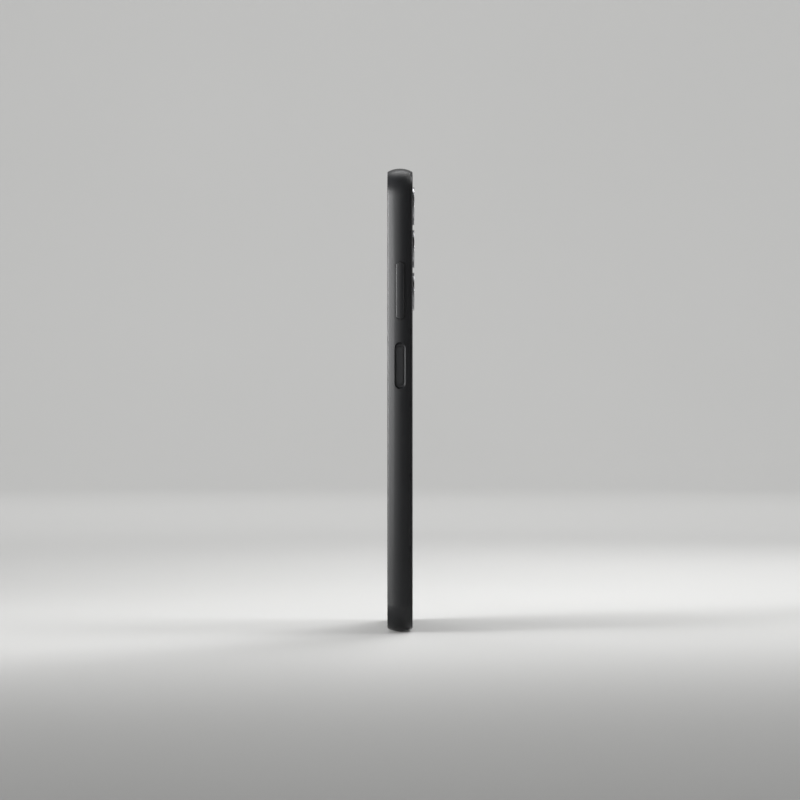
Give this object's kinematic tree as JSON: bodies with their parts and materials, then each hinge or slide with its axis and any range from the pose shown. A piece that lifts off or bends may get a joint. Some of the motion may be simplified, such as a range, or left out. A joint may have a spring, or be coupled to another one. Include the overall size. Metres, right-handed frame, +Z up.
{
  "type": "smartphone",
  "caption": "Touch-screen smartphone with a moulded bow-sided frame, ringed rear camera lenses, a volume rocker and a sunken power and fingerprint key.",
  "frame": {"origin": "middle of the bottom end, on the mid planes of the width and of the thickness of the body", "axes": "+Z up the phone to the earpiece end, -Y out of the display, +Y out of the back, +X out of the side with the volume and power keys"},
  "size_m": [0.0784, 0.0098, 0.167],
  "materials": {
    "frame_plastic": "graphite-grey satin lacquer on moulded plastic",
    "key_plastic": "the same graphite lacquer, slightly glossier",
    "cover_plastic": "dark graphite, smooth",
    "tray_door_plastic": "graphite lacquer on the door, moulded black behind",
    "screen_glass": "clear cover glass with a ground, polished edge, set into the frame's lip",
    "window_glass": "clear, black masked round its edge",
    "ring_metal": "black anodised, turned and polished",
    "flash_clear": "clear moulded light guide",
    "display_stack": "black liquid-crystal module, switched off",
    "foam": "black foam and adhesive tape",
    "flex_film": "amber polyimide over copper",
    "fine_mesh": "fine woven black steel mesh",
    "black_plastic": "black glass-filled moulding",
    "stamped_steel": "stamped stainless steel",
    "motor_weight": "sintered tungsten",
    "board_laminate": "green solder mask on glass-fibre laminate",
    "chip_black": "black epoxy",
    "camera_black": "black lens-barrel plastic",
    "led_phosphor": "yellow phosphor",
    "battery_foil": "aluminium laminate pouch in a black wrap",
    "seal_rubber": "black silicone"
  },
  "bodies": {
    "phone_body": {"antenna_coax": "black_plastic", "back_cover": "cover_plastic", "battery_cell": "battery_foil", "battery_flex": "flex_film", "battery_protection_board": "board_laminate", "board_chips": "chip_black", "board_connectors": "black_plastic", "camera_flexes": "flex_film", "camera_gaskets": "foam", "camera_ring_lower": "ring_metal", "camera_ring_middle": "ring_metal", "camera_ring_upper": "ring_metal", "case_screws": "stamped_steel", "chassis_plate": "stamped_steel", "cover_glass": "screen_glass", "display_adhesive": "foam", "display_flex": "flex_film", "display_panel": "display_stack", "earpiece_mesh": "fine_mesh", "earpiece_receiver": "stamped_steel", "flash_led": "led_phosphor", "flash_window": "flash_clear", "front_camera": "camera_black", "headphone_jack": "black_plastic", "key_bracket": "stamped_steel", "key_flex": "flex_film", "key_switches": "stamped_steel", "lens_window_lower": "window_glass", "lens_window_middle": "window_glass", "lens_window_upper": "window_glass", "loudspeaker_driver": "chip_black", "loudspeaker_enclosure": "black_plastic", "loudspeaker_mesh": "fine_mesh", "lower_inner_cover": "black_plastic", "macro_camera": "camera_black", "main_board": "board_laminate", "main_camera_base": "board_laminate", "main_camera_can": "stamped_steel", "main_flex": "flex_film", "microphones": "stamped_steel", "outer_frame": "frame_plastic", "processor_shield": "stamped_steel", "radio_shield": "stamped_steel", "sim_reader": "stamped_steel", "sub_board": "board_laminate", "upper_inner_cover": "black_plastic", "usb_c_seal": "seal_rubber", "usb_c_shell": "stamped_steel", "usb_c_tongue": "black_plastic", "vibration_motor_can": "stamped_steel", "wide_camera": "camera_black"},
    "power_button": {"power_key": "key_plastic", "fingerprint_sensor": "black_plastic"},
    "volume_rocker": {"volume_key": "key_plastic"},
    "sim_drawer": {"sim_tray": "tray_door_plastic", "sim_tray_seal": "seal_rubber"},
    "eject_rod": {"sim_eject_rod": "stamped_steel"},
    "eject_lever": {"sim_eject_lever": "black_plastic"},
    "motor_rotor": {"vibration_motor_rotor": "motor_weight"},
    "focus_lens": {"main_lens_barrel": "camera_black"}
  },
  "joints": [
    {"name": "power_key_press", "type": "slide", "parent": "phone_body", "child": "power_button", "axis": [-1, 0, 0], "range_m": [0, 0.00025], "stiffness_N_per_m": 8000},
    {"name": "volume_key_rock", "type": "hinge", "parent": "phone_body", "child": "volume_rocker", "pos_m": [0.0358, 0, 0.1227], "axis": [0, 1, 0], "range_deg": [-1.3, 1.3], "stiffness_Nm_per_rad": 0.45},
    {"name": "sim_tray_slide", "type": "slide", "parent": "phone_body", "child": "sim_drawer", "axis": [-1, 0, 0], "range_m": [0, 0.03]},
    {"name": "eject_rod_push", "type": "slide", "parent": "phone_body", "child": "eject_rod", "axis": [1, 0, 0], "range_m": [0, 0.0006]},
    {"name": "eject_lever_turn", "type": "hinge", "parent": "phone_body", "child": "eject_lever", "pos_m": [-0.0053, 0.0015, 0.1316], "axis": [0, 1, 0], "range_deg": [0, 9.2]},
    {"name": "vibration_rotor_spin", "type": "hinge", "parent": "phone_body", "child": "motor_rotor", "pos_m": [-0.031, -0.0005, 0.013], "axis": [0, 1, 0], "continuous": true},
    {"name": "main_lens_focus", "type": "slide", "parent": "phone_body", "child": "focus_lens", "axis": [0, 1, 0], "range_m": [0, 0.0003], "stiffness_N_per_m": 50}
  ],
  "couplings": [
    {"joint": "eject_lever_turn", "follows": "eject_rod_push", "rad_per_m": 263.16}
  ]
}
